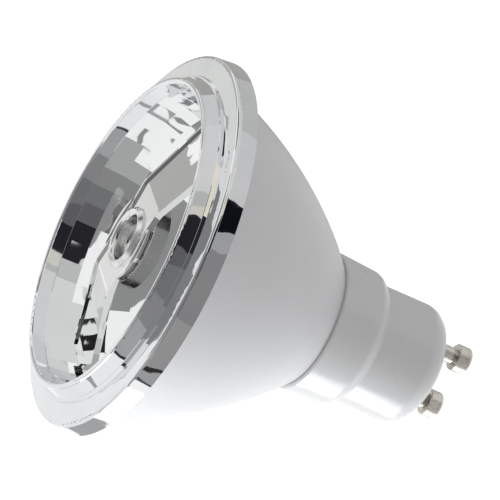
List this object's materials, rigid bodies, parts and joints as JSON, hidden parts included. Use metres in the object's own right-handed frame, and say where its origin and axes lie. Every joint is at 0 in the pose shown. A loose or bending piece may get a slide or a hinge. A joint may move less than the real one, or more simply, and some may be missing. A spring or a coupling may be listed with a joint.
{
  "type": "gu10 spotlight bulb",
  "caption": "Reflector spotlight bulb with a white bell housing, a chrome stepped front ring, a mirror bowl crossed by a bridge bar with a glare cap, and a twist base with headed pins.",
  "frame": {"origin": "centre of the flat end face of the base boss, midway between the contact pins, where the lampholder seats", "axes": "+Z along the lamp's axis towards the light, X through both contact pins and along the bridge bar"},
  "size_m": [0.0706, 0.0706, 0.071],
  "materials": {
    "ring_chrome": "bright chrome plating on moulded plastic",
    "bowl_mirror": "vacuum metallised mirror with a clear coat",
    "bar_chrome": "bright plating",
    "housing_white": "smooth satin white moulding",
    "base_white": "glossy white moulding",
    "pin_nickel": "nickel plated turned brass",
    "heat_sink_metal": "drawn aluminium",
    "thermal_pad_grey": "soft silicone pad",
    "core_board_white": "white solder mask on an aluminium core",
    "module_ceramic": "white ceramic",
    "phosphor_yellow": "silicone with yellow phosphor",
    "screw_steel": "zinc plated steel",
    "board_laminate": "green glass fibre laminate",
    "can_sleeve": "dark shrink sleeve on an aluminium can",
    "film_epoxy": "red brown epoxy coating",
    "fuse_ceramic": "coated ceramic body with plated end caps",
    "chip_black": "black moulding compound with tinned leads",
    "ferrite": "dark grey ferrite",
    "bobbin_plastic": "dark moulding",
    "winding_tape": "enamelled wire under yellow tape",
    "wire_black": "insulated wire",
    "wire_white": "insulated wire",
    "wire_red": "insulated wire",
    "sleeve_plastic": "insulating sleeve",
    "solder": "bright solder"
  },
  "bodies": {
    "root": {"front_ring": "ring_chrome", "reflector_bowl": "bowl_mirror", "bridge_bar": "bar_chrome", "glare_cap": "bar_chrome", "housing_shell": "housing_white", "base_cap": "base_white", "contact_pin_left": "pin_nickel", "contact_pin_right": "pin_nickel", "heat_sink": "heat_sink_metal", "thermal_pad": "thermal_pad_grey", "led_board": "core_board_white", "led_module": "module_ceramic", "led_phosphor": "phosphor_yellow", "board_screws": "screw_steel", "driver_board": "board_laminate", "bulk_capacitor": "can_sleeve", "output_capacitor": "can_sleeve", "film_capacitor": "film_epoxy", "fuse_resistor": "fuse_ceramic", "bridge_rectifier": "chip_black", "driver_chip": "chip_black", "transformer_core": "ferrite", "transformer_bobbin": "bobbin_plastic", "transformer_winding": "winding_tape", "input_wire_left": "wire_white", "input_wire_right": "wire_white", "output_wire_plus": "wire_red", "output_wire_minus": "wire_black", "wire_sleeves": "sleeve_plastic", "solder_joints": "solder"}
  },
  "joints": []
}
